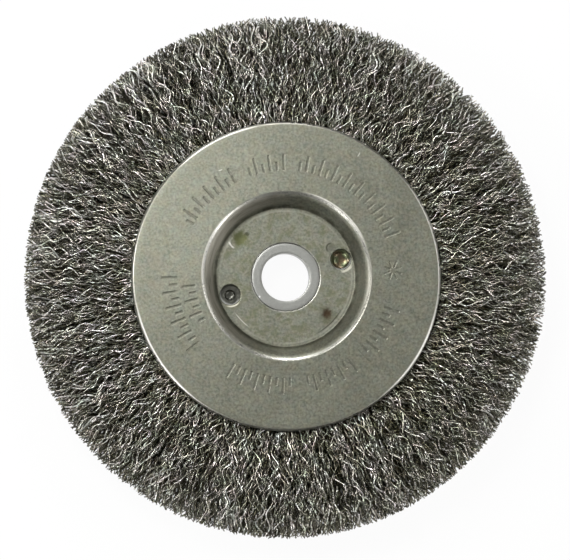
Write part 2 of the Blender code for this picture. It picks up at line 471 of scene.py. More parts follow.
@dataclass(frozen=True)
class PlateSteel:
    """Satin pressed steel, warm grey and mottled, with stains and stamped ticks on the front."""

    colour: Colour = (0.2125, 0.2155, 0.174)
    # A brighter colour on the rubbed rim, lip and hole edge: partly wear, partly a painted highlight.
    worn_glint_colour: Colour = (0.52, 0.51, 0.47)
    # Painted sheen on the left of the dish's wall, and painted shade on its right.
    painted_wall_sheen: Colour = (0.45, 0.425, 0.37)
    shaded: Colour = (0.100, 0.098, 0.078)
    # Painted highlight on a ring round the edge of the floor.
    floor_edge_highlight: Colour = (0.42, 0.41, 0.355)
    # Painted shade in the crease, mottled like grime.
    grime_and_shade: Colour = (0.060, 0.056, 0.042)
    patch: Colour = (0.124, 0.135, 0.072)
    stamped: Colour = (0.09, 0.088, 0.072)
    roughness: float = 0.50
    groove_depth: float = 0.13
    ragged_edge: float = 0.0022
    grain: Noise = Noise(1250.0, 3.0, 0.65)
    cloud: Noise = Noise(70.0, 3.0, 0.6)
    smear: Noise = Noise(260.0, 2.0, 0.5)
    warmth: Noise = Noise(310.0, 3.0, 0.6)
    greenness: Noise = Noise(470.0, 2.0, 0.6)
    streaks: Noise = Noise(2600.0, 2.0, 0.6)
    patches: Noise = Noise(330.0, 3.0, 0.65)
    tatters: Noise = Noise(900.0, 2.0, 0.6)
    rim: Band = Band(0.0504, 0.0520, 0.0002)
    lip: Band = Band(0.0271, 0.0280, 0.0003)
    hole: Band = Band(0.0113, 0.0117, 0.0002)
    wall: Band = Band(0.0240, 0.0271, 0.0007)
    highlight_ring: Band = Band(0.02165, 0.02205, 0.0003)
    crease: Band = Band(0.0227, 0.0239, 0.0006)
    rows: tuple[TickRow, ...] = (
        TickRow(118.0, 152.0, 0.0349, 0.0403),
        TickRow(90.0, 111.0, 0.0349, 0.0403),
        TickRow(21.0, 84.0, 0.0349, 0.0403),
        TickRow(178.0, 217.0, 0.0362, 0.0414),
        TickRow(184.0, 210.0, 0.0304, 0.0348, 4.2),
        TickRow(237.0, 274.0, 0.0336, 0.0390),
        TickRow(281.0, 307.0, 0.0336, 0.0390),
        TickRow(314.0, 346.0, 0.0336, 0.0390),
    )
    star: Star = Star()
    stains: tuple[tuple[Spot, Colour, float], ...] = (
        (Spot(139.6, 0.0197, 0.0034, 0.0020), (0.080, 0.090, 0.030), 0.80),
        (Spot(132.0, 0.0193, 0.0011, 0.0008), (0.045, 0.045, 0.025), 0.70),
        (Spot(318.0, 0.0184, 0.0040, 0.0032), (0.105, 0.100, 0.065), 0.55),
        (Spot(319.0, 0.0181, 0.0023, 0.0018), (0.050, 0.032, 0.020), 0.95),
        (Spot(205.0, 0.0196, 0.0036, 0.0022), (0.120, 0.110, 0.055), 0.50),
        (Spot(33.0, 0.0179, 0.0016, 0.0008), (0.125, 0.122, 0.098), 0.60),
        (Spot(173.0, 0.0432, 0.0040, 0.0036), (0.240, 0.205, 0.155), 0.22),
        (Spot(184.5, 0.0434, 0.0036, 0.0032), (0.240, 0.205, 0.155), 0.22),
    )
    marks_and_light: tuple[ArcMark, ...] = (
        axis_arc(0.02051, 0.00024, 214.0, 235.0, (0.60, 0.58, 0.52)),
        axis_arc(0.02120, 0.00040, 296.0, 334.0, (0.07, 0.068, 0.050)),
        # The next three marks are painted highlights on the rolled edges of a dent and of the two pin holes.
        ArcMark(142.4, 0.01993, 0.0029, 0.00055, 186.0, 250.0, (0.68, 0.66, 0.60)),
        ArcMark(18.0, 0.01925, 0.0040, 0.00085, 262.0, 338.0, (0.66, 0.64, 0.54)),
        ArcMark(198.0, 0.01925, 0.0039, 0.00050, 245.0, 325.0, (0.66, 0.64, 0.54)),
        ArcMark(33.0, 0.01790, 0.0015, 0.00060, 60.0, 260.0, (0.070, 0.068, 0.050)),
        ArcMark(63.0, 0.0470, 0.0030, 0.00030, 310.0, 350.0, (0.60, 0.58, 0.52)),
        ArcMark(121.0, 0.0440, 0.0030, 0.00030, 270.0, 300.0, (0.60, 0.58, 0.52)),
        # Painted highlights along the rim, partly its worn bright edge.
        axis_arc(0.0505, 0.0009, 306.0, 354.0, (0.97, 0.95, 0.90)),
        axis_arc(0.0506, 0.0009, 340.0, 405.0, (0.80, 0.78, 0.73)),
        axis_arc(0.0505, 0.0009, 98.0, 138.0, (0.95, 0.93, 0.88)),
        axis_arc(0.0505, 0.0009, 188.0, 236.0, (0.97, 0.95, 0.90)),
        # Painted highlights along the lip.
        axis_arc(0.0278, 0.0009, 126.0, 194.0, (0.90, 0.88, 0.82)),
        axis_arc(0.0280, 0.0009, 18.0, 82.0, (0.80, 0.78, 0.72)),
        # Painted shade that dims the lip on the right.
        axis_arc(0.0276, 0.0016, 312.0, 386.0, (0.20, 0.195, 0.165)),
    )

    def dress(self, face: Face) -> Material:
        """The material for the plate on one face.

        The rubbed rim, lip and edge of the hole are smoother than the faces between them, and brighter,
        partly as wear and partly as a painted highlight.

        Args:
            face: The side of the wheel. Only the front has stains and stamped marks.

        Returns:
            The finished material.
        """
        coat = Coating(f"plate_steel_{face.name.lower()}")
        grain = coat.noise(self.grain)
        cloud = coat.noise(self.cloud)
        smear = coat.noise(self.smear)
        warm = coat.noise(self.warmth) - 0.5
        green = coat.noise(self.greenness) - 0.5
        tone = (1.0 + (grain - 0.5) * 1.50) * (1.0 + (cloud - 0.5) * 0.26) * (1.0 + (smear - 0.5) * 0.22)
        red = tone * (1.0 + warm * 0.17 - green * 0.20)
        blue = tone * (0.985 - warm * 0.24 - green * 0.10)
        colour = coat.tint(self.colour, red, tone, blue)

        # The rubbed rim, lip and hole edge are painted brighter, partly as wear and partly as a painted
        # highlight; the lower roughness is the wear.
        worn_glint = coat.highest(*[band.mask(coat) for band in (self.rim, self.lip, self.hole)])
        worn_glint = worn_glint * (0.6 + 0.4 * coat.smoothstep(smear, 0.30, 0.55))
        roughness = self.roughness + (grain - 0.5) * 0.22 + (cloud - 0.5) * 0.12 - worn_glint * 0.22
        height = (grain - 0.5) * 0.012 + (smear - 0.5) * 0.010
        layers = [(worn_glint * 0.75, self.worn_glint_colour), *self._dish(coat, cloud, smear)]
        if face is Face.FRONT:
            stamps = coat.highest(*[mark.mask(coat) for mark in (self.star, *self.rows)])
            stamps = stamps * coat.smoothstep(smear, 0.18, 0.42)
            height = height - stamps * self.groove_depth
            layers += self._marks(coat, stamps)
        for mask, shade in layers:
            colour = coat.blend(mask, colour, shade)
        return coat.steel(colour, roughness, Normal=coat.bump(height))

    def _dish(self, coat: Coating, cloud: Signal, smear: Signal) -> list[Layer]:
        """The dish's layers: a painted sheen and a painted shade on its wall, a painted highlight ring on
        its floor, and painted shade with grime in the crease.

        The painted sheen is streaked and strongest on the left, and the painted shade lies on the right.

        Args:
            coat: The material under construction.
            cloud: The noise that breaks up the painted highlight ring.
            smear: The noise that breaks up the grime and painted shade in the crease.

        Returns:
            The mask and the colour of each layer, from the lowest up.
        """
        wall = self.wall.mask(coat)
        leftwards = coat.smoothstep((coat.y * 0.25 - coat.x * 0.97) / coat.reach, -0.05, 0.80)
        rightwards = coat.smoothstep(coat.x / coat.reach, 0.50, 1.0)
        streaked = coat.combine(coat.reach, coat.x * 0.06, coat.y * 0.06)
        streaks = coat.smoothstep(coat.noise(self.streaks, streaked), 0.15, 0.60)
        return [
            # Painted sheen, streaked, strongest on the left of the wall.
            (wall * (0.03 + 0.90 * leftwards) * streaks, self.painted_wall_sheen),
            # Painted shade on the right of the wall.
            (wall * rightwards * 0.42, self.shaded),
            # Painted highlight round the edge of the floor.
            (self.highlight_ring.mask(coat) * coat.smoothstep(cloud, 0.30, 0.60) * 0.40, self.floor_edge_highlight),
            # Painted shade in the crease, mottled like grime.
            (self.crease.mask(coat) * coat.smoothstep(smear, 0.20, 0.65) * 0.80, self.grime_and_shade),
        ]

    def _marks(self, coat: Coating, stamps: Signal) -> list[Layer]:
        """The front's layers: patches and stains on its floor, stamped marks, and curved marks, among them
        nicks, painted highlights on the rim, the lip and rolled edges, and a painted shade on the lip.

        Args:
            coat: The material under construction.
            stamps: The mask of the stamped marks.

        Returns:
            The mask and the colour of each layer, from the lowest up.
        """
        on_floor = coat.smoothstep(coat.reach, 0.0225, 0.0212)
        patches = on_floor * coat.smoothstep(coat.noise(self.patches), 0.46, 0.66)
        ragged = (coat.noise(self.tatters) - 0.5) * self.ragged_edge
        return [
            (patches * 0.50, self.patch),
            *[(spot.mask(coat, ragged) * strength, shade) for spot, shade, strength in self.stains],
            (stamps * 0.48, self.stamped),
            *[(arc_mark.mask(coat) * 0.85, arc_mark.colour) for arc_mark in self.marks_and_light],
        ]


@dataclass(frozen=True)
class HubSteel:
    """Turned bluish steel with fine lathe rings, and an oily film under the plate's pin holes."""

    colour: Colour = (0.385, 0.388, 0.366)
    dark_oil: Colour = (0.060, 0.060, 0.046)
    brown_oil: Colour = (0.105, 0.070, 0.026)
    green_oil: Colour = (0.085, 0.100, 0.036)
    speck_white: Colour = (0.85, 0.85, 0.83)
    roughness: float = 0.38
    rings: Noise = Noise(5200.0, 2.0, 0.6)
    grain: Noise = Noise(1700.0, 3.0, 0.6)
    cloud: Noise = Noise(160.0, 2.0, 0.5)
    pool: Noise = Noise(420.0, 1.0, 0.4)
    golden_film: Spot = Spot(19.3, 0.0192, 0.0036, 0.0006)
    dark_film: Spot = Spot(196.8, 0.0189, 0.0036, 0.0006)
    white_speck: Spot = Spot(217.0, 0.0108, 0.0005, 0.0003)

    def dress(self) -> Material:
        """The material, with two pools of oil and a white speck.

        Returns:
            The finished material.
        """
        coat = Coating("hub_steel_turned")
        rings = coat.noise(self.rings, coat.combine(coat.reach, 0.0, 0.0))
        grain = coat.noise(self.grain)
        cloud = coat.noise(self.cloud)
        pool = coat.noise(self.pool)
        tone = 1.0 + (grain - 0.5) * 0.30 + (cloud - 0.5) * 0.20
        colour = coat.tint(self.colour, tone, tone, tone)
        golden = coat.blend(coat.smoothstep(pool, 0.38, 0.62), self.brown_oil, self.green_oil)
        films = [self.golden_film.mask(coat), self.dark_film.mask(coat)]
        for film, shade in zip(films, (golden, self.dark_oil)):
            colour = coat.blend(film * 0.92, colour, shade)
        oil = coat.highest(*films)
        colour = coat.blend(self.white_speck.mask(coat) * 0.9, colour, self.speck_white)
        roughness = self.roughness + (grain - 0.5) * 0.16 - oil * 0.06
        lathe = (rings - 0.5) * 0.010 * (1.0 - oil)
        normal = coat.bump(lathe + (grain - 0.5) * 0.006 + oil * (pool - 0.5) * 0.25)
        return coat.steel(colour, roughness, Coat_Weight=oil * 0.6, Coat_Roughness=0.28, Normal=normal)


@dataclass(frozen=True)
class RingSteel:
    """Drawn rod with a dull skin, closed in by the plates."""

    colour: Colour = (0.38, 0.375, 0.36)
    dull: Colour = (0.25, 0.235, 0.20)
    roughness: float = 0.45
    grain: Noise = Noise(900.0, 3.0, 0.6)

    def dress(self) -> Material:
        """The material, with dull flecks.

        Returns:
            The finished material.
        """
        coat = Coating("ring_steel_drawn")
        grain = coat.noise(self.grain)
        colour = coat.blend(coat.smoothstep(grain, 0.3, 0.7), self.colour, self.dull)
        normal = coat.bump(grain * 0.02)
        return coat.steel(colour, self.roughness + (grain - 0.5) * 0.2, Normal=normal)


@dataclass(frozen=True)
class WireSteel:
    """Bright carbon steel wire, with noise along it, paler and rougher towards its tips."""

    bright: Colour = (0.980, 0.960, 0.930)
    dull: Colour = (0.079, 0.074, 0.022)
    roughness: float = 0.17
    near_plates: float = 0.052
    near_tips: float = 0.084
    grain: Noise = Noise(1250.0, 2.0, 0.6)
    warmth: Noise = Noise(210.0, 1.0, 0.5)
    greenness: Noise = Noise(260.0, 1.0, 0.5)

    def dress(self) -> Material:
        """The material. Each wire's shade comes from its tone attribute, which holds its own tone with
        painted shade and light.

        Returns:
            The finished material.
        """
        coat = Coating("wire_steel_crimped")
        attribute = coat.node("ShaderNodeAttribute", {"attribute_name": "tone"})
        tone = Signal(coat, attribute.outputs["Fac"])
        grain = coat.noise(self.grain)
        outwards = coat.smoothstep(coat.reach, self.near_plates, self.near_tips)
        contrast = 1.0 + (grain - 0.5) * (3.6 - tone * 1.4)
        shade = (tone * (1.0 - outwards * 0.10) + outwards * 0.08 + 0.050) * contrast
        warm = coat.noise(self.warmth) - 0.5
        green = coat.noise(self.greenness) - 0.5
        red = 1.0 + warm * 0.08 - green * 0.30
        blue = 1.0 - warm * 0.22 - green * 0.27
        colour = coat.tint(coat.blend(shade, self.dull, self.bright), red, 1.0, blue)
        roughness = self.roughness + tone * 0.06 + outwards * 0.075 + (grain - 0.5) * 0.1
        return coat.steel(colour, roughness)


def make_mesh(name: str, points: Array, *groups: Array) -> Mesh:
    """A smooth mesh whose faces point outwards.

    Args:
        name: The mesh's name.
        points: The vertices, (n, 3).
        groups: Vertex numbers of the faces, (m, corners), one array for each number of corners.

    Returns:
        The mesh. The sign of the sum of a . (b x c) over its triangles, which is six times its volume,
        says whether the faces have to be turned.
    """
    volume = 0.0
    for group in groups:
        for last in range(2, group.shape[1]):
            a, b, c = points[group[:, 0]], points[group[:, last - 1]], points[group[:, last]]
            volume += float(np.einsum("ij,ij->", a, np.cross(b, c)))
    if volume < 0:
        groups = tuple(group[:, ::-1] for group in groups)
    mesh = bpy.data.meshes.new(name)
    corners = np.concatenate([group.ravel() for group in groups])
    sizes = np.concatenate([np.full(len(group), group.shape[1]) for group in groups])
    mesh.vertices.add(len(points))
    mesh.vertices.foreach_set("co", points.astype(np.float32).ravel())
    mesh.loops.add(len(corners))
    mesh.loops.foreach_set("vertex_index", corners.astype(np.int32))
    mesh.polygons.add(len(sizes))
    mesh.polygons.foreach_set("loop_start", (np.cumsum(sizes) - sizes).astype(np.int32))
    mesh.update(calc_edges=True)
    mesh.validate()
    mesh.shade_smooth()
    return mesh


def wrapped_quads(rows: int, columns: int) -> Array:
    """The faces of a grid of points that closes on itself both ways.

    Args:
        rows: The grid's rows.
        columns: Its columns.

    Returns:
        The point numbers of each face, (m, 4).
    """
    row, column = np.meshgrid(np.arange(rows), np.arange(columns), indexing="ij")
    next_row = (row + 1) % rows
    next_column = (column + 1) % columns
    corners = [row * columns + column, next_row * columns + column]
    corners += [next_row * columns + next_column, row * columns + next_column]
    return np.stack(corners, axis=-1).reshape(-1, 4)


def rod_faces(rings: int, around: int) -> tuple[Array, Array]:
    """The side faces and the two end faces of a rod, given as rings of points.

    Args:
        rings: The number of rings.
        around: The points in each.

    Returns:
        The point numbers of the sides, (m, 4), and of the ends, (2, around).
    """
    ring, point = np.meshgrid(np.arange(rings - 1), np.arange(around), indexing="ij")
    after = (point + 1) % around
    corners = [(ring, point), (ring, after), (ring + 1, after), (ring + 1, point)]
    sides = np.stack([row * around + column for row, column in corners], axis=-1).reshape(-1, 4)
    ends = np.stack([np.arange(around)[::-1], (rings - 1) * around + np.arange(around)])
    return sides, ends


def add_piece(name: str, mesh: Mesh, material: Material, slot: str, *nodes: str) -> None:
    """Adds a finished piece to the scene, riding on the wheel's body.

    Args:
        name: The piece's name.
        mesh: Its mesh, already in place.
        material: Its finish.
        slot: The name of a material slot; not used.
        nodes: The CAD nodes that it stands for.
    """
    mesh.materials.clear()
    mesh.materials.append(material)
    piece = link_object(name, mesh)
    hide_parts(*nodes)
    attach(piece, BODY)
    log.info("%s: %d triangles", name, len(mesh.loops) - 2 * len(mesh.polygons))


@dataclass(frozen=True)
class Corner:
    """A rounded corner of a section, with the longest stride along the straight side after it."""

    radius: float
    height: float
    fillet: float
    steps: int
    stride: float


def section(corners: Sequence[Corner]) -> Array:
    """A closed outline of (radius, height) points with rounded corners.

    An arc starts fillet / tan(opening / 2) before its corner and ends as far after it. Its centre is
    fillet / sin(opening / 2) from the corner on the line that halves the opening, and its points turn
    evenly from one end to the other. The straight side after it is divided evenly.

    Args:
        corners: The corners in order.

    Returns:
        The (radius, height) points, (n, 2).
    """
    arcs = []
    count = len(corners)
    for number, corner in enumerate(corners):
        at = np.array([corner.radius, corner.height])
        before, after = corners[number - 1], corners[(number + 1) % count]
        back = np.array([before.radius, before.height]) - at
        on = np.array([after.radius, after.height]) - at
        back /= np.linalg.norm(back)
        on /= np.linalg.norm(on)
        opening = math.acos(float(np.clip(np.dot(back, on), -1.0, 1.0)))
        middle = (back + on) / np.linalg.norm(back + on)
        centre = at + middle * corner.fillet / math.sin(opening / 2)
        first = at + back * corner.fillet / math.tan(opening / 2) - centre
        last = at + on * corner.fillet / math.tan(opening / 2) - centre
        sweep = math.pi - opening
        part = np.linspace(0.0, 1.0, corner.steps + 1)[:, None]
        arm = (np.sin((1 - part) * sweep) * first + np.sin(part * sweep) * last) / math.sin(sweep)
        arcs.append(centre + arm)
    points = []
    for number, corner in enumerate(corners):
        start = arcs[number][-1]
        stop = arcs[(number + 1) % count][0]
        pieces = max(1, math.ceil(float(np.linalg.norm(stop - start)) / corner.stride))
        straight = start + (stop - start) * (np.arange(1, pieces) / pieces)[:, None]
        points += [arcs[number], straight]
    return np.concatenate(points)


def turned(outline: Array, segments: int) -> Array:
    """The (segments, points, 3) grid that an outline sweeps about Z.

    Args:
        outline: Its (radius, height) points, (n, 2).
        segments: The steps of the turn.

    Returns:
        The grid.
    """
    angle = (np.arange(segments) * math.tau / segments)[:, None]
    radius, height = outline[:, 0], outline[:, 1]
    return np.stack([radius * np.cos(angle), radius * np.sin(angle), height + 0.0 * angle], axis=-1)


def cut_out(mesh: Mesh, cutters: Sequence[Mesh]) -> Mesh:
    """The mesh with the cutters' shapes taken out, and sharp where its faces meet at more than 35 degrees.

    Args:
        mesh: The shape to cut.
        cutters: The shapes to take out.

    Returns:
        The cut mesh.
    """
    piece = link_object(mesh.name, mesh)
    tools = [link_object(cutter.name, cutter) for cutter in cutters]
    for tool in tools:
        boolean = piece.modifiers.new(tool.name, "BOOLEAN")
        boolean.operation = "DIFFERENCE"
        boolean.solver = "EXACT"
        boolean.object = tool
    scene_graph = bpy.context.evaluated_depsgraph_get()
    result = bpy.data.meshes.new_from_object(piece.evaluated_get(scene_graph))
    for used in (piece, *tools):
        bpy.data.objects.remove(used, do_unlink=True)
    result.shade_smooth()
    result.set_sharp_from_angle(angle=math.radians(35.0))
    return result


def spindle(
    name: str, outline: Sequence[tuple[float, float]], at: tuple[float, float], segments: int
) -> Mesh:
    """A solid turned about a line parallel to Z through the (x, y) place, with flat ends.

    Args:
        name: The mesh's name.
        outline: (radius, height) points of its side, from one end to the other.
        at: The place of its line.
        segments: The faces round it.

    Returns:
        The closed mesh, with its points turned as in turned() and moved to the place.
    """
    rings = turned(np.array(outline), segments).transpose(1, 0, 2) + np.array([*at, 0.0])
    return make_mesh(name, rings.reshape(-1, 3), *rod_faces(len(outline), segments))


@dataclass(frozen=True)
class PinHoles:
    """Two holes on one line through the axis, on opposite sides of the bore."""

    circle_radius: float = 0.01925
    line_angle: float = 18.0

    def places(self) -> list[tuple[float, float]]:
        """The (x, y) places of the two holes."""
        x, y = polar(self.line_angle, self.circle_radius)
        return [(x, y), (-x, -y)]


@dataclass(frozen=True)
class Dent:
    """A shallow round dent in a plate, with the depth at its middle. A negative depth is a bulge."""

    angle: float
    reach: float
    size: float
    depth: float

    def depth_at(self, x: Array, y: Array) -> Array:
        """Depth falls off from the middle as exp(-(distance / size) ** 2).

        Args:
            x: Places along X.
            y: Places along Y.

        Returns:
            The depth at each place.
        """
        across, along = polar(self.angle, self.reach)
        away = (x - across) ** 2 + (y - along) ** 2
        return self.depth * np.exp(-away / self.size**2)


@dataclass(frozen=True)
class SidePlate:
    """A pressed side plate: a floor round the hub, a sloping wall, a coned face and a skirt."""

    sheet: float = 0.0012
    hole_radius: float = 0.0113
    floor_radius: float = 0.02290
    floor_height: float = 0.0025
    shoulder_radius: float = 0.02640
    shoulder_height: float = 0.00675
    lip_radius: float = 0.02800
    lip_height: float = 0.0075
    rim_radius: float = 0.0510
    rim_height: float = 0.0063
    skirt_height: float = 0.0043
    crease_fillet: float = 0.0006
    shoulder_fillet: float = 0.0040
    lip_fillet: float = 0.0010
    rim_fillet: float = 0.0010
    edge_fillet: float = 0.00025
    pin_hole_radius: float = 0.0034
    pin_hole_roll: float = 0.00035
    segments: int = 240
    dents: tuple[Dent, ...] = (
        Dent(139.6, 0.0197, 0.0019, 0.00022),
        Dent(150.0, 0.0213, 0.0007, -0.00012),
        Dent(319.5, 0.0178, 0.0014, 0.00012),
        Dent(3.0, 0.0200, 0.0018, 0.00006),
        Dent(31.0, 0.0196, 0.0014, 0.00005),
        Dent(184.0, 0.0200, 0.0016, 0.00005),
    )

    def outline(self) -> Array:
        """The closed section: the outer surface outwards, then the inner one back, one sheet below it.

        Returns:
            The (radius, height) points, (n, 2).
        """
        wall = math.atan2(self.shoulder_height - self.floor_height, self.shoulder_radius - self.floor_radius)
        shoulder = math.atan2(self.lip_height - self.shoulder_height, self.lip_radius - self.shoulder_radius)
        cone = math.atan2(self.rim_height - self.lip_height, self.rim_radius - self.lip_radius)
        sheet = self.sheet

        def below(radius: float, height: float, first: float, second: float) -> tuple[float, float]:
            """The corner one sheet inside a corner, between sides at the two slopes.

            Args:
                radius: The corner's radius.
                height: Its height.
                first: The slope before it.
                second: The slope after it.

            Returns:
                The inner corner's radius and height.
            """
            half_turn = (first + second) / 2
            step = sheet / math.cos((first - second) / 2)
            return radius + step * math.sin(half_turn), height - step * math.cos(half_turn)

        crease = below(self.floor_radius, self.floor_height, 0.0, wall)
        bend = below(self.shoulder_radius, self.shoulder_height, wall, shoulder)
        lip = below(self.lip_radius, self.lip_height, shoulder, cone)
        rim = (self.rim_radius - sheet, self.rim_height - sheet + math.tan(-cone) * sheet)
        edge = self.edge_fillet
        corners = [
            Corner(self.hole_radius, self.floor_height, edge, 3, 0.00045),
            Corner(self.floor_radius, self.floor_height, self.crease_fillet, 4, 0.0009),
            Corner(self.shoulder_radius, self.shoulder_height, self.shoulder_fillet, 5, 0.0005),
            Corner(self.lip_radius, self.lip_height, self.lip_fillet, 5, 0.0016),
            Corner(self.rim_radius, self.rim_height, self.rim_fillet, 7, 0.0015),
            Corner(self.rim_radius, self.skirt_height, edge, 2, 0.0020),
            Corner(self.rim_radius - sheet, self.skirt_height, edge, 2, 0.0030),
            Corner(*rim, 0.0003, 2, 0.0060),
            Corner(*lip, 0.0002, 2, 0.0030),
            Corner(*bend, self.shoulder_fillet - sheet, 3, 0.0030),
            Corner(*crease, self.crease_fillet + sheet, 3, 0.0030),
            Corner(self.hole_radius, self.floor_height - sheet, edge, 2, 0.0020),
        ]
        return section(corners)

    def surface(self) -> Array:
        """The turned grid, with the dents pressed into the floor and the face very slightly uneven.

        Returns:
            The grid, (segments, points, 3).
        """
        grid = turned(self.outline(), self.segments)
        x, y = grid[..., 0], grid[..., 1]
        reach = np.hypot(x, y)
        turn = np.arctan2(y, x)
        on_floor = np.clip((self.floor_radius - 0.0004 - reach) / 0.001, 0.0, 1.0)
        for dent in self.dents:
            grid[..., 2] -= dent.depth_at(x, y) * on_floor
        on_face = np.clip((reach - self.lip_radius) / (self.rim_radius - self.lip_radius), 0.0, 1.0)
        wave = 0.55 * np.sin(2 * turn + 0.9) + 0.30 * np.sin(3 * turn + 2.1) + 0.15 * np.sin(5 * turn)
        grid[..., 2] += 0.00006 * wave * on_face
        return grid

    def build(self, face: Face, pins: PinHoles, finish: PlateSteel) -> None:
        """Turns, drills and dresses one plate.

        Args:
            face: The side of the wheel that it goes on.
            pins: The holes' places.
            finish: Its steel.
        """
        side = face.name.lower()
        grid = self.surface()
        grid[..., 2] *= face.value
        mesh = make_mesh(f"side_plate_{side}", grid.reshape(-1, 3), wrapped_quads(*grid.shape[:2]))
        top, radius, roll = self.floor_height, self.pin_hole_radius, self.pin_hole_roll
        arc = np.linspace(0.0, math.pi / 2, 5)
        flare = [(radius + roll * (1 - math.cos(a)), top - roll + roll * math.sin(a)) for a in arc]
        profile = [(radius, 0.0), *flare, (radius + roll * 1.4, top + 0.002)]
        shape = [(away, height * face.value) for away, height in profile]
        cutters = [spindle(f"pin_hole_{n}", shape, at, 48) for n, at in enumerate(pins.places(), 1)]
        plate, node = cut_out(mesh, cutters), f"face_plate_{side}"
        add_piece(f"side_plate_{side}", plate, finish.dress(face), "plate_steel", node)


@dataclass(frozen=True)
class HubDisc:
    """The bushing round the bore and its flange, with a shallow bowl under each pin hole."""

    bore_radius: float = 0.0079375
    bushing_radius: float = 0.01120
    bushing_height: float = 0.00225
    flange_radius: float = 0.02505
    flange_height: float = 0.0010
    bore_chamfer: float = 0.00010
    edge_fillet: float = 0.00010
    sockets: tuple[tuple[float, float], ...] = ((0.0029, 0.0008), (0.0018, 0.0008))
    segments: int = 160

    def outline(self) -> Array:
        """The closed section, round the top half outwards and the bottom half back.

        Returns:
            The (radius, height) points, (n, 2).
        """
        top, step, edge = self.bushing_height, self.flange_height, self.edge_fillet
        corners = [
            Corner(self.bore_radius, top, self.bore_chamfer, 3, 0.0008),
            Corner(self.bushing_radius, top, edge, 3, 0.0020),
            Corner(self.bushing_radius, step, 0.0001, 1, 0.0020),
            Corner(self.flange_radius, step, edge, 2, 0.0020),
            Corner(self.flange_radius, -step, edge, 2, 0.0020),
            Corner(self.bushing_radius, -step, 0.0001, 1, 0.0020),
            Corner(self.bushing_radius, -top, edge, 3, 0.0008),
            Corner(self.bore_radius, -top, self.bore_chamfer, 3, 0.0020),
        ]
        return section(corners)

    def build(self, pins: PinHoles, finish: HubSteel) -> None:
        """Turns the disc, sinks its bowls and dresses it.

        A bowl's side runs from its middle to its rim as depth * (1 - share ** 4) below the flange. Each
        pin hole has its own radius and depth of bowl.

        Args:
            pins: The bowls' places.
            finish: Its steel.
        """
        grid = turned(self.outline(), self.segments)
        mesh = make_mesh("hub_disc_turned", grid.reshape(-1, 3), wrapped_quads(*grid.shape[:2]))
        share = np.linspace(0.08, 1.0, 7)
        cutters = []
        for (radius, depth), at in zip(self.sockets, pins.places()):
            bowl = [(radius * s, self.flange_height - depth * (1 - s**4)) for s in share]
            bowl.append((radius * 1.02, self.flange_height + 0.001))
            for face in Face:
                shape = [(away, height * face.value) for away, height in bowl]
                cutters.append(spindle("socket", shape, at, 32))
        add_piece("hub_disc_turned", cut_out(mesh, cutters), finish.dress(), "hub_steel", "hub_disc")


# The points of one bend: the part of half a wave that each stands after the bend's peak, and its share
# of the swing
ROUND_BEND = ((-0.27, 0.66), (0.0, 1.0), (0.27, 0.66))
PLAIN_BEND = ((-0.15, 0.86), (0.15, 0.86))


@dataclass(frozen=True)
class WireLayer:
    """One share of the wires: those between two parts of the way from the middle plane to a face.

    Plane is the spread of the crimps' planes in degrees, dive the length of one rise and fall, and
    shine the share of the brightest steel that its wires reach.
    """

    name: str
    face: Face
    low: float
    high: float
    count: int
    seed: int
    plane: float = 62.0
    dive: float = 0.012
    shine: float = 0.88
    bends: int = 9
    bend: tuple[tuple[float, float], ...] = ROUND_BEND


